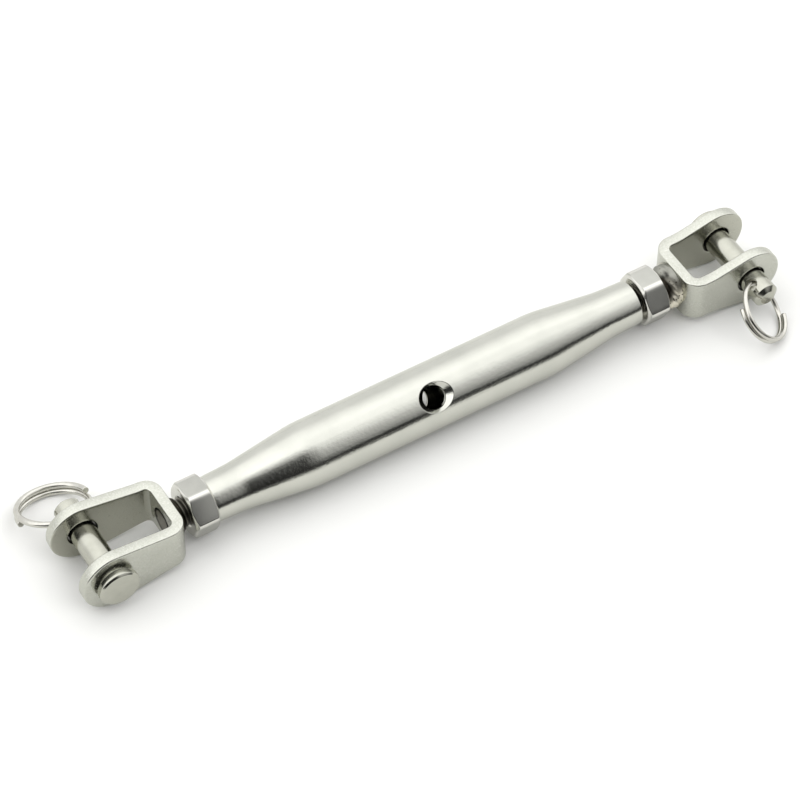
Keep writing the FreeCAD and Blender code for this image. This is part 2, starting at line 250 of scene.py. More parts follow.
def barrel_profile():
    """Outer radius along +X: straight, convex shoulder, taper, concave neck, nose, round rim."""
    slope = solved_taper()
    a = np.linspace(0, slope, 14)[1:]
    shoulder_x = straight_half + shoulder_radius * np.sin(a)
    shoulder_r = tube_radius - shoulder_radius * (1 - np.cos(a))
    b = np.linspace(slope, nose_slope, 12)
    neck_x = half_length - nose_length - neck_radius * (np.sin(b) - math.sin(nose_slope))
    nose_r = end_radius + nose_length * math.tan(nose_slope)
    neck_r = nose_r + neck_radius * (math.cos(nose_slope) - np.cos(b))
    taper = np.linspace(0, 1, 12)[1:-1]
    taper_x = shoulder_x[-1] + (neck_x[0] - shoulder_x[-1]) * taper
    taper_r = shoulder_r[-1] + (neck_r[0] - shoulder_r[-1]) * taper
    nose = np.linspace(0, nose_length - rim_round, 8)[1:]
    nose_x = half_length - nose_length + nose
    nose_r = nose_r - math.tan(nose_slope) * nose
    c = np.linspace(0, math.pi / 2, 7)[1:]
    rim_x = half_length - rim_round * (1 - np.sin(c))
    rim_r = nose_r[-1] - rim_round * (1 - np.cos(c))
    x = np.concatenate([[straight_half], shoulder_x, taper_x, neck_x, nose_x, rim_x])
    return x, np.concatenate([[tube_radius], shoulder_r, taper_r, neck_r, nose_r, rim_r])


def sink_rim(phi):
    """Where the countersink's cone comes out through the round wall, by repeated substitution."""
    radius = np.full_like(phi, sink_radius)
    for _ in range(20):
        height = np.sqrt(tube_radius ** 2 - (radius * np.sin(phi)) ** 2)
        radius = sink_radius + (height - tube_radius)
    return radius


def sink_wall(share):
    """A ring on the countersink's cone, share of the way from the rim to the bore."""
    def wall(phi):
        """Radius and height, which grow alike on a 90 degree cone."""
        radius = sink_rim(phi) + (tommy_radius - sink_rim(phi)) * share
        return radius, tube_radius + radius - sink_radius
    return wall


def bore_wall(share):
    """A ring in the bore, share of the way from the countersink to the inner face."""
    def wall(phi):
        """The bore's radius, and a height from the cone's foot to the inner face."""
        top = tube_radius + tommy_radius - sink_radius
        bottom = np.sqrt(tube_inner_radius ** 2 - (tommy_radius * np.sin(phi)) ** 2)
        return np.full_like(phi, tommy_radius), top + (bottom - top) * share
    return wall


barrel = Surface()
outer_x, outer_r = barrel_profile()
straight_x = np.linspace(drilled_half, straight_half, 28)[1:-1]
right_x = np.concatenate([straight_x, outer_x])
right_r = np.concatenate([np.full(len(straight_x), tube_radius), outer_r])
mouth_x = np.array([half_length, half_length - mouth_chamfer, half_length - mouth_depth])
mouth_r = np.array([tapped_radius + mouth_chamfer, tapped_radius, tapped_radius])
right_x, right_r = np.concatenate([right_x, mouth_x]), np.concatenate([right_r, mouth_r])
walls = [sink_wall(s) for s in (0.05, 0.1, 0.3, 0.6, 0.93, 1.0)]
walls += [bore_wall(s) for s in (0.15, 1.0)]
drilled_tube(barrel, (-right_x[::-1], right_r[::-1]), drilled_half, 0.0, (right_x, right_r),
             tube_radius, tommy_angle, sink_rim, walls)
inner_x = np.concatenate([np.linspace(drilled_half, inner_taper_from, 8)[1:], [tapped_from],
                          [half_length - mouth_depth]])
inner_r = np.concatenate([np.full(7, tube_inner_radius), [tapped_radius, tapped_radius]])
drilled_tube(barrel, (-inner_x[::-1], inner_r[::-1]), drilled_half, 0.0, (inner_x, inner_r),
             tube_inner_radius, tommy_angle, lambda phi: np.full_like(phi, tommy_radius), [])


# AISI 316 stainless, belt-polished: a soft mirror with faint lengthwise lines, a fine grain and
# cloudy patches. The lines and the grain are drawn coarser than real ones, so that they show.
polished_tube, tree, place = new_material("satin polished stainless tube")
lines_place = add(tree, "Mapping", {"Scale": (0.05, 1.0, 1.0)}, {"Vector": place}).outputs[0]
lines = add(tree, "TexNoise", {"Scale": 1 / (0.45 * mm), "Detail": 3.0}, {"Vector": lines_place})
clouds = add(tree, "TexNoise", {"Scale": 1 / (7 * mm), "Detail": 4.0}, {"Vector": place})
grain = add(tree, "TexNoise", {"Scale": 1 / (0.7 * mm), "Detail": 4.0}, {"Vector": place})
rough = add(tree, "MapRange", {"To Min": 0.07, "To Max": 0.18}, {"Value": clouds.outputs[0]})
tint = add(tree, "MixRGB", {"Color1": linear("#C4C5BE"), "Color2": linear("#DADAD3")},
           {"Fac": clouds.outputs[0]})
height = add(tree, "Math", {"operation": "MULTIPLY_ADD", 1: 2.4},
             {0: grain.outputs[0], 2: lines.outputs[0]})
bump = add(tree, "Bump", {"Strength": 0.5, "Distance": 0.018 * mm}, {"Height": height.outputs[0]})
bare_steel(tree, tint, rough, bump)

barrel.build("swaged_barrel", polished_tube, "barrel", ["barrel"], "tube")


# The studs: stainless rods with a rolled 1/4 in thread, right-hand on the left one and left-hand
# on the right. Their blunt tips sit in the barrel, their other ends flush inside the jaws.

thread_pitch = 25.4 / 28 * mm
thread_crest = 3.08 * mm
thread_root = 2.52 * mm
tip_chamfer = 0.6 * mm
strap_thickness = 2.4 * mm
left_base_x = 58.47 * mm
right_base_x = 60.7 * mm


def from_x_axis(tree, place):
    """How far a point is from the X axis: the length of its Y and Z."""
    across = add(tree, "VectorMath", {"operation": "MULTIPLY", 1: (0.0, 1.0, 1.0)}, {0: place})
    length = add(tree, "VectorMath", {"operation": "LENGTH"}, {0: across.outputs[0]})
    return length.outputs["Value"]


def threaded_rod(start, end, hand):
    """A rod about X: rows follow the thread's helix, so that its ridges lie along them.

    Hand is 1 for a left-hand thread and -1 for a right-hand one. The radius is a clipped
    triangular wave of the distance along the helix, cut down to a chamfer at the tip, and what
    would pass an end is pressed flat onto it.
    """
    columns, per_pitch = 64, 10
    root_flat, flank = 0.22, 0.62
    turn = np.linspace(0, 2 * math.pi, columns + 1)
    first, last = start / thread_pitch - 1.5, end / thread_pitch + 1.5
    phase = np.arange(math.floor(first) * per_pitch, math.ceil(last) * per_pitch) / per_pitch
    x = (phase[:, None] + hand * turn[None, :] / 2 / math.pi) * thread_pitch
    wave = np.abs((phase % 1.0) * 2 - 1)[:, None]
    tooth = np.clip((wave - root_flat) / flank, 0, 1)
    x = np.clip(x, start, end)
    radius = thread_root + (thread_crest - thread_root) * tooth
    radius = np.minimum(radius, thread_crest - tip_chamfer + (x - start))
    surface = Surface()
    surface.grid(round_x(x, radius, turn[None, :]))
    for stop in (0, -1):
        surface.fan(round_x(x[stop, :-1], radius[stop, :-1], turn[:-1]))
    return surface


def turned_to_left(surface):
    """Half a turn about Z for every point gathered so far."""
    surface.points = [p * np.array([-1.0, -1.0, 1.0]) for p in surface.points]
    return surface


# AISI 316, rolled thread: dull flanks, roots painted dark as shade, and crests and sawn ends,
# which are the only faces square to the axis, kept out of that painted shade.
thread_metal, tree, place = new_material("rolled stainless thread")
facing = add(tree, "SeparateXYZ", links={"Vector": place.node.outputs["Normal"]})
square = add(tree, "Math", {"operation": "ABSOLUTE"}, {0: facing.outputs["X"]})
sawn = add(tree, "MapRange", {"From Min": 0.93, "From Max": 0.98}, {"Value": square.outputs[0]})
grime = add(tree, "TexNoise", {"Scale": 1 / (1.5 * mm), "Detail": 5.0}, {"Vector": place})
crest = add(tree, "MapRange", {"From Min": 2.7 * mm, "From Max": thread_crest},
            {"Value": from_x_axis(tree, place)})
out_of_root_shade = add(tree, "Math", {"operation": "MAXIMUM"}, {0: crest.outputs[0], 1: sawn.outputs[0]})
steel = add(tree, "MixRGB", {"Color1": linear("#7E7B72"), "Color2": linear("#A19E95")},
            {"Fac": grime.outputs[0]})
# The roots are painted near-black as shade; crests and sawn ends keep the steel colour.
tint = add(tree, "MixRGB", {"Color1": linear("#4A4842")},
           {"Fac": out_of_root_shade.outputs[0], "Color2": steel.outputs[0]})
rough = add(tree, "MapRange", {"To Min": 0.25, "To Max": 0.5}, {"Value": grime.outputs[0]})
grain = add(tree, "TexNoise", {"Scale": 1 / (0.12 * mm), "Detail": 2.0}, {"Vector": place})
bump = add(tree, "Bump", {"Strength": 0.25, "Distance": 0.02 * mm}, {"Height": grain.outputs[0]})
bare_steel(tree, tint, rough, bump)

stud_tip_x = 8.0 * mm
proud = 0.05 * mm
left_hand, right_hand = 1, -1
left_stud = turned_to_left(threaded_rod(stud_tip_x, left_base_x + strap_thickness + proud,
                                        right_hand))
left_stud.build("left_stud", thread_metal, "left_fork", ["left_threaded_stud"], "thread")
right_stud = threaded_rod(stud_tip_x, right_base_x + strap_thickness + proud, left_hand)
right_stud.build("right_stud", thread_metal, "right_fork", ["right_threaded_stud"], "thread")


# The lock nuts: cold-formed stainless hexagons, 11 mm across flats, chamfered on both faces.
# The left one is run up against the barrel, the right one stands back against its weld.

nut_flats = 11.0 * mm
nut_height = 5.5 * mm
nut_corner_round = 1.15 * mm
nut_face_radius = 5.225 * mm
nut_chamfer = math.radians(32)
nut_sink = 3.5 * mm
left_nut_x = 50.57 * mm
right_nut_x = 51.5 * mm
left_nut_angle = math.radians(180 - 40.0)
right_nut_angle = math.radians(34.5)


def hexagon_loop(angle):
    """Radius and turn round a hexagon with rounded corners: flats in steps, corners as arcs."""
    flat_distance = nut_flats / 2
    corner_distance = (flat_distance - nut_corner_round) / math.cos(math.pi / 6)
    flat_half = (flat_distance - nut_corner_round) * math.tan(math.pi / 6)
    sides = []
    for k in range(6):
        middle = angle + k * math.pi / 3
        along = np.linspace(-flat_half, flat_half, 9)
        flat = np.stack([np.full(9, flat_distance), along], axis=-1)
        sweep = np.linspace(0, math.pi / 3, 7)[1:-1]
        corner = np.array([math.cos(math.pi / 6), math.sin(math.pi / 6)]) * corner_distance
        arc = corner + nut_corner_round * np.stack([np.cos(sweep), np.sin(sweep)], axis=-1)
        local = np.concatenate([flat, arc])
        turn = np.arctan2(local[:, 1], local[:, 0]) + middle
        sides.append(np.stack([np.hypot(local[:, 0], local[:, 1]), turn], axis=-1))
    loop = np.concatenate(sides)
    return loop[:, 0], loop[:, 1]


def hexagon_nut(near_x, angle):
    """A nut along X: from its bore over the face, up the chamfer to the hexagon, and back."""
    edge, turn = hexagon_loop(angle)
    slope = math.tan(nut_chamfer)
    depth = np.maximum(edge - nut_face_radius, 0) * slope
    ones = np.ones_like(edge)
    rows = [(nut_height / 2 * ones, tapped_radius * ones),
            ((nut_sink - tapped_radius) * ones, tapped_radius * ones),
            (0 * ones, nut_sink * ones),
            (0 * ones, (nut_sink + 0.05 * mm) * ones),
            (0 * ones, (nut_face_radius - 0.08 * mm) * ones),
            (0 * ones, nut_face_radius * ones),
            (depth * 0.12 + 0.01 * mm, nut_face_radius + (edge - nut_face_radius) * 0.12),
            (depth * 0.85, nut_face_radius + (edge - nut_face_radius) * 0.85),
            (depth + 0.02 * mm, edge - 0.01 * mm),
            (depth + 0.12 * mm, edge),
            (nut_height / 2 * ones, edge)]
    rows += [(nut_height - x, r) for x, r in rows[-2::-1]]
    surface = Surface()
    x = np.stack([row[0] for row in rows])
    radius = np.stack([row[1] for row in rows])
    surface.grid(round_x(near_x + x, radius, turn[None, :]), closed=True)
    return surface


# AISI 304 nut, tumbled: smooth dull flats with fine pits, and corners and chamfers worn by the
# tumbling stones and painted lighter as a highlight.
def tumbled_nut(name, near_x):
    """Nut metal, worn and painted lighter as a highlight away from the axis and at both ends."""
    material, tree, place = new_material(name)
    clouds = add(tree, "TexNoise", {"Scale": 1 / (2.5 * mm), "Detail": 5.0}, {"Vector": place})
    pits = add(tree, "TexNoise", {"Scale": 1 / (0.2 * mm), "Detail": 3.0}, {"Vector": place})
    corner = add(tree, "MapRange", {"From Min": 5.95 * mm, "From Max": 6.12 * mm},
                 {"Value": from_x_axis(tree, place)})
    along = add(tree, "SeparateXYZ", links={"Vector": place}).outputs["X"]
    from_middle = add(tree, "Math", {"operation": "SUBTRACT", 1: near_x + nut_height / 2},
                      {0: add(tree, "Math", {"operation": "ABSOLUTE"}, {0: along}).outputs[0]})
    end = add(tree, "MapRange", {"From Min": 2.35 * mm, "From Max": 2.5 * mm},
              {"Value": add(tree, "Math", {"operation": "ABSOLUTE"},
                            {0: from_middle.outputs[0]}).outputs[0]})
    # Worn corners and chamfers, painted lighter as a highlight.
    wear_and_highlight = add(tree, "Math", {"operation": "MAXIMUM"}, {0: corner.outputs[0], 1: end.outputs[0]})
    dull_flats_or_inside_shade = add(tree, "MixRGB", {"Color1": linear("#B6B6B1"), "Color2": linear("#C6C6C0")},
               {"Fac": clouds.outputs[0]})
    tint = add(tree, "MixRGB", {"Color2": linear("#DEDDD8")},
               {"Fac": wear_and_highlight.outputs[0], "Color1": dull_flats_or_inside_shade.outputs[0]})
    rough = add(tree, "MapRange", {"To Min": 0.12, "To Max": 0.24}, {"Value": clouds.outputs[0]})
    bump = add(tree, "Bump", {"Strength": 0.12, "Distance": 0.02 * mm},
               {"Height": pits.outputs[0]})
    bare_steel(tree, tint, rough, bump)
    return material


left_nut = turned_to_left(hexagon_nut(left_nut_x, left_nut_angle))
left_nut_metal = tumbled_nut("tumbled stainless left nut", left_nut_x)
left_nut.build("left_nut", left_nut_metal, "left_lock_nut", ["left_lock_nut"], "nut")
right_nut = hexagon_nut(right_nut_x, right_nut_angle)
right_nut_metal = tumbled_nut("tumbled stainless right nut", right_nut_x)
right_nut.build("right_nut", right_nut_metal, "right_lock_nut", ["right_lock_nut"], "nut")


# The jaws: flat stainless strip, sheared to a waist with two round ears, drilled, bent to a U
# and tumbled: grainy faces, and slightly rounded worn edges, painted brighter as a highlight.

jaw_gap = 10.5 * mm
bend_radius = 1.25 * mm
base_half_width = 5.15 * mm
ear_radius = 6.99 * mm
blend_radius = 14.0 * mm
edge_round = 0.3 * mm
pin_hole_radius = 3.15 * mm
ear_seam = 6.0 * mm


def fork_strap(base_x, pin_x, neck_length, splay):
    """A flat pattern of half the strip, bent to a U and repeated for the other leg.

    The strip's cross-section, a rectangle with rounded corners, is carried along its length up
    to the ear. Each face of the ear is rings from its edge to the pin hole. Bending keeps the
    distance along the middle of the thickness: flat base, arc, then a straight leg.
    """
    half_t = strap_thickness / 2
    outer_bend = bend_radius + strap_thickness
    middle_bend = bend_radius + half_t
    centre_x = base_x + outer_bend
    centre_y = jaw_gap / 2 - bend_radius
    bend_length = middle_bend * (math.pi / 2 - splay)
    leg_start = centre_y + bend_length
    leg_x = centre_x - middle_bend * math.sin(splay)
    pin_s = leg_start + (pin_x - leg_x) / math.cos(splay)
    neck_x = centre_x + neck_length
    to_pin = pin_x - neck_x
    slope = math.asin(ear_radius / math.hypot(to_pin, base_half_width))
    slope -= math.atan2(base_half_width, to_pin)
    blend = blend_radius * math.tan(slope / 2)

    def bent(s, w, n):
        """Flat pattern to space: s along, w across, n outward from the middle of the strip."""
        s, w, n = np.broadcast_arrays(s, w, n)
        turn = np.clip((s - centre_y) / middle_bend, 0, math.pi / 2 - splay)
        on_base = s < centre_y
        leg = np.maximum(s - leg_start, 0)
        x = centre_x - (middle_bend + n) * np.cos(turn) + leg * math.cos(splay)
        y = centre_y + (middle_bend + n) * np.sin(turn) + leg * math.sin(splay)
        y = np.where(on_base, s, y)
        return np.stack([x, y, w], axis=-1)

    def half_width(s):
        """Straight neck, an arc into the flare, and the flare's straight edge."""
        x = bent(s, 0.0, 0.0)[..., 0]
        past = np.clip(x - (neck_x - blend), 0, blend_radius * math.sin(slope))
        arc = blend_radius - np.sqrt(blend_radius ** 2 - past ** 2)
        line = np.maximum(x - (neck_x - blend) - blend_radius * math.sin(slope), 0)
        return base_half_width + arc + line * math.tan(slope)

    corner = np.linspace(0, math.pi / 2, 5)
    across = np.linspace(-1, 1, 17)
    seam_s = pin_s - ear_seam
    s = np.concatenate([np.linspace(0, centre_y, 5), np.linspace(centre_y, leg_start, 17)[1:],
                        np.linspace(leg_start, seam_s, 15)[1:]])
    wide = half_width(s)[:, None]
    inside = wide - edge_round
    edge_w = inside + edge_round * np.sin(corner)[None, :]
    edge_n = half_t - edge_round * (1 - np.cos(corner))[None, :]
    w = np.concatenate([inside * across[None, :-1], edge_w, edge_w[:, ::-1],
                        -inside * across[None, 1:-1], -edge_w, -edge_w[:, ::-1]], axis=1)
    n = np.concatenate([np.full((1, 16), half_t), edge_n, -edge_n[:, ::-1],
                        np.full((1, 15), -half_t), -edge_n, edge_n[:, ::-1]], axis=1)
    surface = Surface()
    surface.grid(bent(s[:, None], w, n), closed=True)

    seam_wide = half_width(np.array([seam_s]))[0] - edge_round
    tangent = math.pi / 2 + slope
    seam_turn = math.atan2(seam_wide, -ear_seam)
    sweep = np.linspace(-seam_turn, seam_turn, 97)

    def edge_distance(inset):
        """From the pin to the ear's edge: the round ear, then the flare's tangent line."""
        past = np.maximum(np.abs(sweep) - tangent, 0)
        return (ear_radius - inset) / np.cos(past)

    rim = edge_distance(edge_round)
    loop_s = np.concatenate([rim * np.cos(sweep), np.full(15, -ear_seam)])
    loop_w = np.concatenate([rim * np.sin(sweep), seam_wide * across[-2:0:-1]])
    loop_s[[0, 96]] = -ear_seam
    loop_w[[0, 96]] = [-seam_wide, seam_wide]
    turn = np.arctan2(loop_w, loop_s)
    hole_chamfer = 0.12 * mm
    hole_edge = pin_hole_radius + hole_chamfer
    hole_s, hole_w = hole_edge * np.cos(turn), hole_edge * np.sin(turn)
    share = np.linspace(0, 1, 8)[:, None]
    for side in (-half_t, half_t):
        face_s = pin_s + loop_s + (hole_s - loop_s) * share
        face_w = loop_w + (hole_w - loop_w) * share
        surface.grid(bent(face_s, face_w, side), closed=True)
    hole_r = np.array([hole_edge, pin_hole_radius + 0.05 * mm, pin_hole_radius, pin_hole_radius,
                       pin_hole_radius + 0.05 * mm, hole_edge])[:, None]
    hole_n = np.array([half_t, half_t - hole_chamfer * 0.75, half_t - hole_chamfer - 0.05 * mm,
                       hole_chamfer + 0.05 * mm - half_t, hole_chamfer * 0.75 - half_t,
                       -half_t])[:, None]
    surface.grid(bent(pin_s + hole_r * np.cos(turn), hole_r * np.sin(turn), hole_n), closed=True)
    band_r = [edge_distance(edge_round * (1 - math.sin(c))) for c in corner]
    band_n = [half_t - edge_round * (1 - math.cos(c)) for c in corner]
    band_r = np.stack(band_r + band_r[::-1])
    band_n = np.array(band_n + [-v for v in band_n[::-1]])[:, None]
    band_s, band_w = band_r * np.cos(sweep), band_r * np.sin(sweep)
    seam_add = edge_round * np.sin(np.concatenate([corner, corner[::-1]]))
    for column, sign in ((0, -1), (96, 1)):
        band_s[:, column] = -ear_seam
        band_w[:, column] = sign * (seam_wide + seam_add)
    surface.grid(bent(pin_s + band_s, band_w, band_n))
    mirrored = [p * np.array([1.0, -1.0, 1.0]) for p in surface.points]
    count = surface.count
    surface.faces += [f[:, ::-1] + count for f in surface.faces]
    surface.points += mirrored
    surface.count = 2 * count
    return surface


# AISI 304 strip, tumbled: a grain all over, drawn coarse enough to show, rounded edges that are
# worn and painted brighter as a highlight, and faces inside the jaw painted darker as shade.
def tumbled_strip(name, pin_x):
    """Strap metal: painted shade where it faces the middle plane, and dark painted shade in the
    pin hole.
    """
    material, tree, place = new_material(name)
    clouds = add(tree, "TexNoise", {"Scale": 1 / (4 * mm), "Detail": 5.0}, {"Vector": place})
    grain = add(tree, "TexNoise", {"Scale": 1 / (0.35 * mm), "Detail": 4.0, "Roughness": 0.65},
                {"Vector": place})
    dents = add(tree, "TexVoronoi", {"Scale": 1 / (1.6 * mm)}, {"Vector": place})
    facing = add(tree, "SeparateXYZ", links={"Vector": place.node.outputs["Normal"]})
    side = add(tree, "SeparateXYZ", links={"Vector": place})
    # Faces turned to the middle plane, inside the jaw, are painted darker as shade.
    outward = add(tree, "Math", {"operation": "MULTIPLY"},
                  {0: facing.outputs["Y"], 1: side.outputs["Y"]})
    inside = add(tree, "MapRange", {"From Min": -2.0 * mm, "From Max": -4.5 * mm},
                 {"Value": outward.outputs[0]})
    # Sharp convex edges are worn and painted brighter as a highlight.
    edge_geometry = add(tree, "NewGeometry")
    edge = add(tree, "MapRange", {"From Min": 0.52, "From Max": 0.62},
               {"Value": edge_geometry.outputs["Pointiness"]})
    tint = add(tree, "MixRGB", {"Color1": linear("#C2C3BA"), "Color2": linear("#D2D3CB")},
               {"Fac": clouds.outputs[0]})
    speckled = add(tree, "MixRGB", {"blend_type": "OVERLAY", "Fac": 0.35},
                   {"Color1": tint.outputs[0], "Color2": grain.outputs[0]})
    bright = add(tree, "MixRGB", {"Color2": linear("#E4E5DD")},
                 {"Fac": edge.outputs[0], "Color1": speckled.outputs[0]})
    dull_flats_or_inside_shade = add(tree, "MixRGB", {"Color2": linear("#BFBFB4")},
               {"Fac": inside.outputs[0], "Color1": bright.outputs[0]})
    # The wall of the pin hole is painted near-black as shade.
    mirrored = add(tree, "Math", {"operation": "ABSOLUTE"}, {0: side.outputs["X"]})
    from_pin = add(tree, "Math", {"operation": "SUBTRACT", 1: pin_x}, {0: mirrored.outputs[0]})
    across = add(tree, "CombineXYZ", links={"X": from_pin.outputs[0], "Y": side.outputs["Z"]})
    distance = add(tree, "VectorMath", {"operation": "LENGTH"}, {0: across.outputs[0]})
    hole = add(tree, "MapRange", {"From Min": pin_hole_radius + 0.25 * mm,
                                  "From Max": pin_hole_radius + 0.15 * mm},
               {"Value": distance.outputs["Value"]})
    hole_shade = add(tree, "MixRGB", {"Color2": linear("#3C3C35")},
                 {"Fac": hole.outputs[0], "Color1": dull_flats_or_inside_shade.outputs[0]})
    rough = add(tree, "MapRange", {"To Min": 0.16, "To Max": 0.34}, {"Value": grain.outputs[0]})
    height = add(tree, "Math", {"operation": "MULTIPLY_ADD", 1: 0.35},
                 {0: dents.outputs[0], 2: grain.outputs[0]})
    bump = add(tree, "Bump", {"Strength": 0.45, "Distance": 0.03 * mm},
               {"Height": height.outputs[0]})
    bare_steel(tree, hole_shade, rough, bump)
    return material


left_pin_x = 75.57 * mm
right_pin_x = 76.05 * mm
left_neck_length = 0.5 * mm
right_neck_length = 2.5 * mm
left_splay = math.radians(2.0)
right_splay = math.radians(0.4)
left_strap = turned_to_left(fork_strap(left_base_x, left_pin_x, left_neck_length, left_splay))
left_strap_metal = tumbled_strip("tumbled stainless left strip", left_pin_x)
left_strap.build("left_strap", left_strap_metal, "left_fork", ["left_fork_strap"], "strap")
right_strap = fork_strap(right_base_x, right_pin_x, right_neck_length, right_splay)
right_strap_metal = tumbled_strip("tumbled stainless right strip", right_pin_x)
right_strap.build("right_strap", right_strap_metal, "right_fork", ["right_fork_strap"], "strap")


# The welds: a run of weld metal round each stud on the back of its jaw. The left one is a small
# plain fillet, the right one is thick, in three lobes, and fills the space up to the nut.

left_weld_height, left_weld_reach, left_weld_lobes = 1.2 * mm, 1.2 * mm, 0
right_weld_height, right_weld_reach, right_weld_lobes = 3.68 * mm, 2.1 * mm, 3
first_lobe_degrees = 108
ripple_depth = 0.08 * mm


def weld_bead(base_x, height, reach, lobes):
    """A fillet about X whose radius is the soft maximum of a cone and the spheres on its lobes.

    A sphere set off from the axis shows, at an angle off its own, its centre's share along
    that angle plus the rest of its chord. The soft maximum is the logarithm of summed powers.
    """
    u = np.linspace(0, 1, 33)[:, None]
    turn = np.linspace(0, 2 * math.pi, 145)[None, :-1]
    bore = tapped_radius
    x = base_x - height * (1 - u)
    cone = bore + reach * (0.25 + 0.55 * u) + 0 * turn
    shapes = [cone]
    ball = (height ** 2 / 4 + reach ** 2) / reach * 0.62
    off = bore + reach - ball
    slice_r = np.sqrt(np.maximum(ball ** 2 - (height * (0.55 - u)) ** 2, 0))
    for k in range(lobes):
        angle = turn - math.radians(first_lobe_degrees + 360 * k / lobes)
        chord = slice_r ** 2 - (off * np.sin(angle)) ** 2
        seen = (chord > 0) & (np.cos(angle) > 0)
        ray = off * np.cos(angle) + np.sqrt(np.maximum(chord, 0))
        shapes.append(np.where(seen, ray, 0))
    soft = 0.12 * mm
    radius = soft * np.log(sum(np.exp((shape - cone) / soft) for shape in shapes)) + cone
    ripple = ripple_depth * np.sin(7 * turn + 16 * u) * np.sin(math.pi * u)
    radius = np.minimum(radius + ripple, bore + reach)
    inner = np.full_like(radius[:1], bore - 0.05 * mm)
    surface = Surface()
    x = np.concatenate([x[:1], x, x[-1:]])
    surface.grid(round_x(x, np.concatenate([inner, radius, inner]), turn), closed=True)
    for stop in (0, -1):
        surface.fan(round_x(x[stop] + 0 * turn[0], inner[0], turn[0]))
    return surface


# Weld metal, wire-brushed: grey on top, straw heat colour low down, dark in the valleys, where
# dark heat scale lies under painted shade, and dark in small pinholes.
weld_metal, tree, place = new_material("brushed weld metal")
heat = add(tree, "TexNoise", {"Scale": 1 / (1.6 * mm), "Detail": 3.0}, {"Vector": place})
height_up = add(tree, "SeparateXYZ", links={"Vector": place}).outputs["Z"]
upper = add(tree, "MapRange", {"From Min": 2.0 * mm, "From Max": 4.2 * mm}, {"Value": height_up})
straw = add(tree, "MixRGB", {"Color1": linear("#E0DBCA"), "Color2": linear("#F0EBDC")},
            {"Fac": heat.outputs[0]})
grey = add(tree, "MixRGB", {"Color1": linear("#8A8A83"), "Color2": linear("#A0A099")},
           {"Fac": heat.outputs[0]})
tint = add(tree, "MixRGB", links={"Fac": upper.outputs[0], "Color1": straw.outputs[0],
                                  "Color2": grey.outputs[0]})
# Valleys between the lobes: dark heat scale with painted shade over it.
valley = add(tree, "MapRange", {"From Min": 4.5 * mm, "From Max": 4.05 * mm},
             {"Value": from_x_axis(tree, place)})
valley_shade_and_scale = add(tree, "MixRGB", {"Color2": linear("#332F29")},
           {"Fac": valley.outputs[0], "Color1": tint.outputs[0]})
lumps = add(tree, "TexNoise", {"Scale": 1 / (0.6 * mm), "Detail": 4.0}, {"Vector": place})
rough = add(tree, "MapRange", {"To Min": 0.28, "To Max": 0.5}, {"Value": lumps.outputs[0]})
bump = add(tree, "Bump", {"Strength": 0.6, "Distance": 0.05 * mm}, {"Height": lumps.outputs[0]})
cells = add(tree, "TexVoronoi", {"Scale": 1 / (0.9 * mm)}, {"Vector": place})
pit = add(tree, "MapRange", {"From Min": 0.22, "From Max": 0.12},
          {"Value": cells.outputs["Distance"]})
pitted = add(tree, "MixRGB", {"Color2": linear("#4A443A")},
             {"Fac": pit.outputs[0], "Color1": valley_shade_and_scale.outputs[0]})
bare_steel(tree, pitted, rough, bump)

left_weld = turned_to_left(weld_bead(left_base_x, left_weld_height, left_weld_reach,
                                     left_weld_lobes))
left_weld.build("left_weld", weld_metal, "left_fork", ["left_weld_bead"], "weld")
right_weld = weld_bead(right_base_x, right_weld_height, right_weld_reach, right_weld_lobes)
right_weld.build("right_weld", weld_metal, "right_fork", ["right_weld_bead"], "weld")


# The clevis pins: turned stainless pins with a flat chamfered head and a tapered tail that is
# drilled across for the split ring. They sit loosely in the ears.

pin_radius = 2.8 * mm
head_radius = 4.4 * mm
head_height = 1.6 * mm
head_chamfer = 0.4 * mm
head_play = 0.8 * mm
grip_length = 22.4 * mm
tail_chamfer = 1.1 * mm
tail_chamfer_length = 0.8 * mm
ring_hole_radius = 1.5 * mm
hole_from_tip = 3.6 * mm
drilled_patch = 1.8 * mm


def ear_face_y(base_x, pin_x, splay):
    """How far the ear's outer face stands from the middle plane, at the pin."""
    leg = pin_x - base_x - bend_radius - strap_thickness
    return jaw_gap / 2 + leg * math.tan(splay) + strap_thickness / math.cos(splay)


def rounded(profile, size, steps=5):
    """A profile of x and radius with each corner turned into a short curve of that size."""
    out = [profile[0]]
    for before, corner, after in zip(profile, profile[1:], profile[2:]):
        before, corner, after = map(np.array, (before, corner, after))
        back = (before - corner) / np.linalg.norm(before - corner)
        on = (after - corner) / np.linalg.norm(after - corner)
        for t in np.linspace(0, 1, steps):
            out.append(tuple(corner + back * size * (1 - t) ** 2 + on * size * t ** 2))
    return np.array(out + [profile[-1]])


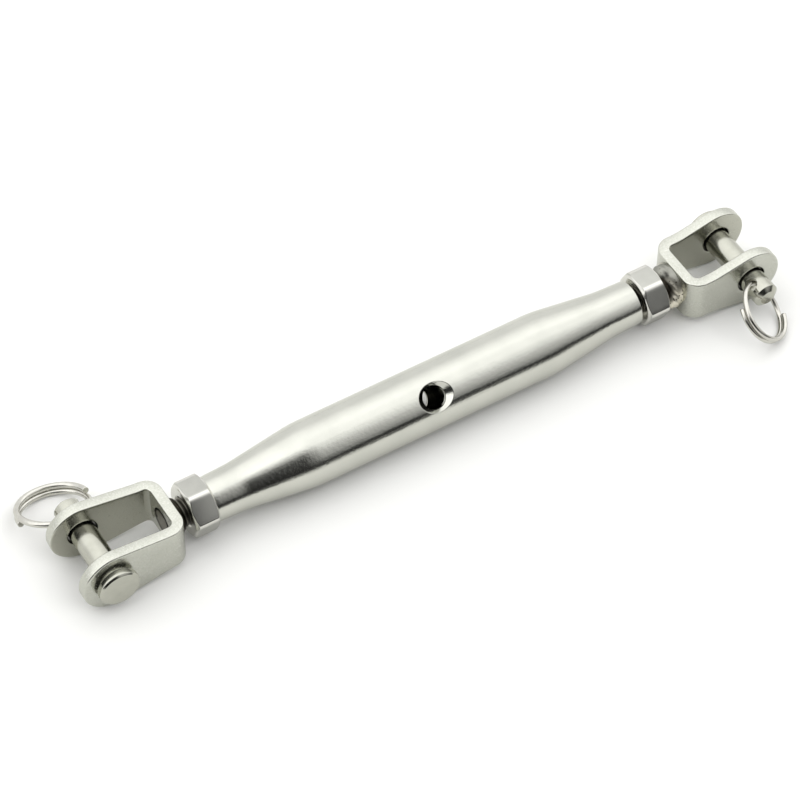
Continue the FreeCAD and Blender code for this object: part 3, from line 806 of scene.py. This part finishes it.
def clevis_pin(pin_x, under_head, hole_angle):
    """A pin along Y: profile turned about X, its tail drilled, then laid along Y at the ears."""
    hole_x, patch, collar = hole_from_tip, drilled_patch, grip_length
    tail = rounded([(0.0, 0.0), (0.0, pin_radius - tail_chamfer),
                    (tail_chamfer_length, pin_radius), (hole_x - patch, pin_radius)],
                   0.04 * mm)[:-1]
    top = collar + head_height
    head = rounded([(hole_x + patch, pin_radius), (collar - 0.3 * mm, pin_radius),
                    (collar, pin_radius + 0.05 * mm), (collar, head_radius),
                    (top - head_chamfer, head_radius), (top, head_radius - head_chamfer),
                    (top, 0.0)], 0.1 * mm)[1:]
    spread = np.linspace(hole_x + patch, collar - 0.5 * mm, 12)[1:]
    after_x = np.concatenate([spread, head[:, 0]])
    after_r = np.concatenate([np.full(11, pin_radius), head[:, 1]])
    surface = Surface()
    walls = [lambda phi, s=s: (np.full_like(phi, ring_hole_radius - 0.06 * mm * s),
                               (1 - s) * 2.3 * mm) for s in (0.0, 0.6, 1.0)]
    drilled_tube(surface, (tail[:, 0], tail[:, 1]), patch, hole_x, (after_x, after_r),
                 pin_radius, hole_angle, lambda phi: np.full_like(phi, ring_hole_radius), walls)
    along_y = []
    for p in surface.points:
        y = under_head - grip_length + p[:, 0]
        along_y.append(np.stack([pin_x - p[:, 1], y, p[:, 2]], axis=-1))
    surface.points = along_y
    return surface


# AISI 316 pin, turned and polished: bright, with fine turning marks round its axis, drawn
# coarser than real ones, so that they show.
pin_metal, tree, place = new_material("polished stainless pin")
marks_place = add(tree, "Mapping", {"Scale": (0.15, 1.0, 0.15)}, {"Vector": place}).outputs[0]
marks = add(tree, "TexNoise", {"Scale": 1 / (0.25 * mm), "Detail": 2.0}, {"Vector": marks_place})
clouds = add(tree, "TexNoise", {"Scale": 1 / (2.0 * mm), "Detail": 4.0}, {"Vector": place})
tint = add(tree, "MixRGB", {"Color1": linear("#B4B4AA"), "Color2": linear("#C9C9BF")},
           {"Fac": clouds.outputs[0]})
rough = add(tree, "MapRange", {"To Min": 0.12, "To Max": 0.22}, {"Value": clouds.outputs[0]})
bump = add(tree, "Bump", {"Strength": 0.12, "Distance": 0.02 * mm}, {"Height": marks.outputs[0]})
bare_steel(tree, tint, rough, bump)

left_ring_angle = math.radians(7.0)
right_ring_angle = math.radians(-40.0)
left_head_y = ear_face_y(left_base_x, left_pin_x, left_splay) + head_play
right_head_y = ear_face_y(right_base_x, right_pin_x, right_splay) + head_play
left_pin = turned_to_left(clevis_pin(left_pin_x, left_head_y, left_ring_angle))
left_pin.build("left_pin", pin_metal, "left_clevis_pin", ["left_clevis_pin"], "pin")
right_pin = clevis_pin(right_pin_x, right_head_y, right_ring_angle)
right_pin.build("right_pin", pin_metal, "right_clevis_pin", ["right_clevis_pin"], "pin")


# The split rings: bright drawn stainless wire wound one and a half turns, threaded through the
# tail of each pin, lying on the table. The left one is wound left-handed, the right one right.

left_coil_radius, left_wire, left_lift, left_shift = 7.4 * mm, 1.35 * mm, -0.15 * mm, 1.0 * mm
right_coil_radius, right_wire, right_lift, right_shift = 6.4 * mm, 1.1 * mm, 0.15 * mm, -0.75 * mm
coil_clearance = 0.05 * mm
shown_share = 0.97


def coil_line(radius, pitch):
    """Middle line of the coil, in flat half circles, each tipped a little the other way."""
    degrees = np.linspace(-270, 270, 271)
    half = np.clip(np.round(degrees / 180), -1, 1)
    way = np.where(half == 0, 1.0, -1.0)
    off = np.radians(degrees - 180 * half)
    return np.stack([way * math.hypot(radius, pitch / 4) * np.cos(off), way * radius * np.sin(off),
                     pitch * (half / 2 + np.sin(off) / 4)], axis=-1)


def ring_place(pin_x, hole_y, angle, lean, radius, lift, shift):
    """Axes and middle of the coil.

    The strand lies in the pin's hole. Angle turns the hole about the pin, lean turns the ring
    down about the hole, lift and shift move the strand across and along it.
    """
    hole_way = np.array([math.cos(angle), 0.0, math.sin(angle)])
    down_way = np.array([hole_way[2], 0.0, -hole_way[0]])
    out_way = np.array([0.0, -math.cos(lean), 0.0]) + down_way * math.sin(lean)
    far_chord = pin_radius + abs(shift)
    centre = np.array([pin_x, hole_y, 0.0]) + hole_way * shift - down_way * lift
    centre += out_way * (radius - far_chord ** 2 / 4 / radius)
    return np.stack([-out_way, -hole_way, np.cross(out_way, hole_way)]), centre


def split_ring(pin_x, under_head, angle, radius, wire, lift, shift, hand):
    """Wire carried along the coil, which leans down until it touches the table.

    Hand is -1 for a left-hand coil and 1 for a right-hand one. The lean is halved in on, and the
    wire is shown a little thinner than it is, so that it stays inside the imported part's box.
    """
    line = coil_line(radius, hand * (wire + coil_clearance))
    hole_y = under_head - grip_length + hole_from_tip
    high, low = 0.0, math.radians(80)
    for _ in range(40):
        lean = (high + low) / 2
        axes, centre = ring_place(pin_x, hole_y, angle, lean, radius, lift, shift)
        if (line @ axes + centre)[:, 2].min() - wire / 2 > -tube_radius:
            high = lean
        else:
            low = lean
    along = np.gradient(line, axis=0)
    along /= np.linalg.norm(along, axis=1)[:, None]
    outward = line * np.array([1.0, 1.0, 0.0])
    outward -= along * np.sum(outward * along, axis=1)[:, None]
    outward /= np.linalg.norm(outward, axis=1)[:, None]
    upward = np.cross(along, outward)
    turn = np.linspace(0, 2 * math.pi, 29)[None, :-1, None]
    circle = outward[:, None] * np.cos(turn) + upward[:, None] * np.sin(turn)
    shown = wire / 2 * shown_share
    tube = line[:, None] + circle * shown
    end_steps = np.array([1.0, 0.9, 0.0])[:, None, None]
    starts = line[0] + circle[0] * shown * end_steps
    ends = line[-1] + circle[-1] * shown * end_steps
    surface = Surface()
    for part in (tube, starts, ends):
        surface.grid(part @ axes + centre, closed=True)
    return surface


# AISI 316 spring wire, drawn bright: mirror-like, with faint cloudy patches.
wire_metal, tree, place = new_material("bright drawn stainless wire")
clouds = add(tree, "TexNoise", {"Scale": 1 / (1.2 * mm), "Detail": 3.0}, {"Vector": place})
tint = add(tree, "MixRGB", {"Color1": linear("#C6C4BD"), "Color2": linear("#DDDCD6")},
           {"Fac": clouds.outputs[0]})
rough = add(tree, "MapRange", {"To Min": 0.12, "To Max": 0.22}, {"Value": clouds.outputs[0]})
bump = add(tree, "Bump", {"Strength": 0.06, "Distance": 0.02 * mm}, {"Height": clouds.outputs[0]})
bare_steel(tree, tint, rough, bump)

left_ring = turned_to_left(split_ring(left_pin_x, left_head_y, left_ring_angle, left_coil_radius,
                                      left_wire, left_lift, left_shift, -1))
left_ring.build("left_ring", wire_metal, "left_split_ring", ["left_split_ring"], "wire")
right_ring = split_ring(right_pin_x, right_head_y, right_ring_angle, right_coil_radius,
                        right_wire, right_lift, right_shift, 1)
right_ring.build("right_ring", wire_metal, "right_split_ring", ["right_split_ring"], "wire")


# The table: a sheet of paper that the fitting lies on, almost white to the camera. To all other
# rays it is off-white, and dark grey in front, for the dark bands that the metal mirrors.

table = Surface()
reach = np.linspace(-1.2, 1.2, 5)
table_x, table_y = np.meshgrid(reach, reach, indexing="ij")
table.grid(np.stack([table_x, table_y, np.full_like(table_x, -tube_radius)], axis=-1))
table_mesh = bpy.data.meshes.new("white_table")
table_mesh.from_pydata(np.concatenate(table.points), [], np.concatenate(table.faces).tolist())
white_paper, tree, place = new_material("white paper sheet")
seen = add(tree, "LightPath")
where = add(tree, "SeparateXYZ", links={"Vector": place})
in_front = add(tree, "MapRange", {"From Min": -40 * mm, "From Max": -110 * mm},
               {"Value": where.outputs["Y"]})
sheet = add(tree, "MixRGB", {"Color1": linear("#E0E0DD"), "Color2": linear("#5A5A58")},
            {"Fac": in_front.outputs[0]})
paper_colour = add(tree, "MixRGB", {"Color2": linear("#EFEFEE")},
                   {"Fac": seen.outputs["Is Camera Ray"], "Color1": sheet.outputs[0]})
shader = add(tree, "BsdfDiffuse", links={"Color": paper_colour.outputs[0]})
add(tree, "OutputMaterial", links={"Surface": shader.outputs[0]})
table_mesh.materials.append(white_paper)
floor = bpy.data.objects.new("white_table", table_mesh)
bpy.context.scene.collection.objects.link(floor)


# The light: a pale room with a broad soft light overhead and behind, nearly black in front, less
# so to the right: two ramps of the angle about the X axis, mixed along X. The camera sees white.

def paper_fill(place_at, size, power):
    """A square lamp aimed at the origin that lights the paper and isn't mirrored in metal."""
    lamp = bpy.data.lights.new("paper_fill", "AREA")
    lamp.size = size
    lamp.energy = power
    holder = bpy.data.objects.new("paper_fill", lamp)
    away = Vector(place_at)
    turned_to = away.to_track_quat("Z", "Y").to_matrix().to_4x4()
    holder.matrix_world = Matrix.Translation(away) @ turned_to
    holder.visible_glossy = False
    bpy.context.scene.collection.objects.link(holder)


paper_fill(place_at=(0.1, -0.45, 0.6), size=0.5, power=1.5)

brightest = 1.8
blue_share = 0.985


def room_light(tree, turned, levels):
    """A ramp of brightness: pairs of degrees from +Y over the top to -Y, and level."""
    ramp = add(tree, "ValToRGB", links={"Fac": turned})
    stops = ramp.color_ramp.elements
    for k, (degrees, level) in enumerate(levels):
        stop = stops[k] if k < 2 else stops.new(1.0)
        stop.position = 0.5 + degrees / 360
        shade = level / brightest
        stop.color = (shade, shade, shade * blue_share, 1.0)
    return ramp.outputs[0]


world = bpy.data.worlds.new("pale_room")
world.use_nodes = True
bpy.context.scene.world = world
tree = world.node_tree
tree.nodes.clear()
split = add(tree, "SeparateXYZ", links={"Vector": add(tree, "TexCoord").outputs["Generated"]})
angle_up = add(tree, "Math", {"operation": "ARCTAN2"},
               {0: split.outputs["Z"], 1: split.outputs["Y"]})
turned = add(tree, "MapRange", {"From Min": -math.pi, "From Max": math.pi},
             {"Value": angle_up.outputs[0]}).outputs[0]
left_room = room_light(tree, turned, [(-180, 0.3), (0, 0.98), (20, 0.98), (33, 1.10), (45, 1.42),
                                      (60, 1.55), (92, 1.72), (103, 1.52), (115, 0.72),
                                      (127, 0.18), (140, 0.05), (165, 0.02), (180, 0.03)])
right_room = room_light(tree, turned, [(-180, 0.3), (0, 0.98), (28, 1.00), (42, 1.20), (59, 1.48),
                                       (75, 1.62), (91, 1.46), (107, 1.43), (123, 1.16),
                                       (139, 0.78), (155, 0.52), (166, 0.30), (174, 0.03)])
to_right = add(tree, "MapRange", {"From Min": 0.05, "From Max": 0.33},
               {"Value": split.outputs["X"]})
room_colour = add(tree, "MixRGB", links={"Fac": to_right.outputs[0], "Color1": left_room,
                                         "Color2": right_room})
path = add(tree, "LightPath")
room = add(tree, "Background", {"Strength": brightest}, {"Color": room_colour.outputs[0]})
paper = add(tree, "Background", {"Color": linear("#FFFFFF"), "Strength": 1.0})
mixed = add(tree, "MixShader", links={"Fac": path.outputs["Is Camera Ray"],
                                      1: room.outputs[0], 2: paper.outputs[0]})
add(tree, "OutputWorld", links={"Surface": mixed.outputs[0]})


# The camera: where the photo was taken from, found by fitting the barrel, jaws and pins.

camera_data = bpy.data.cameras.new("camera")
camera_data.sensor_width = 36.0
camera_data.lens = 140.2
camera_data.clip_start = 0.01
camera = bpy.data.objects.new("camera", camera_data)
camera.matrix_world = Matrix((
    (0.85615734, 0.39996631, -0.32714148, -0.212736),
    (-0.51671176, 0.66502147, -0.5392174, -0.340997),
    (0.00188731, 0.63069279, 0.77603031, 0.494042),
    (0, 0, 0, 1)))
bpy.context.scene.collection.objects.link(camera)
bpy.context.scene.camera = camera
bpy.context.scene.view_settings.view_transform = "Standard"
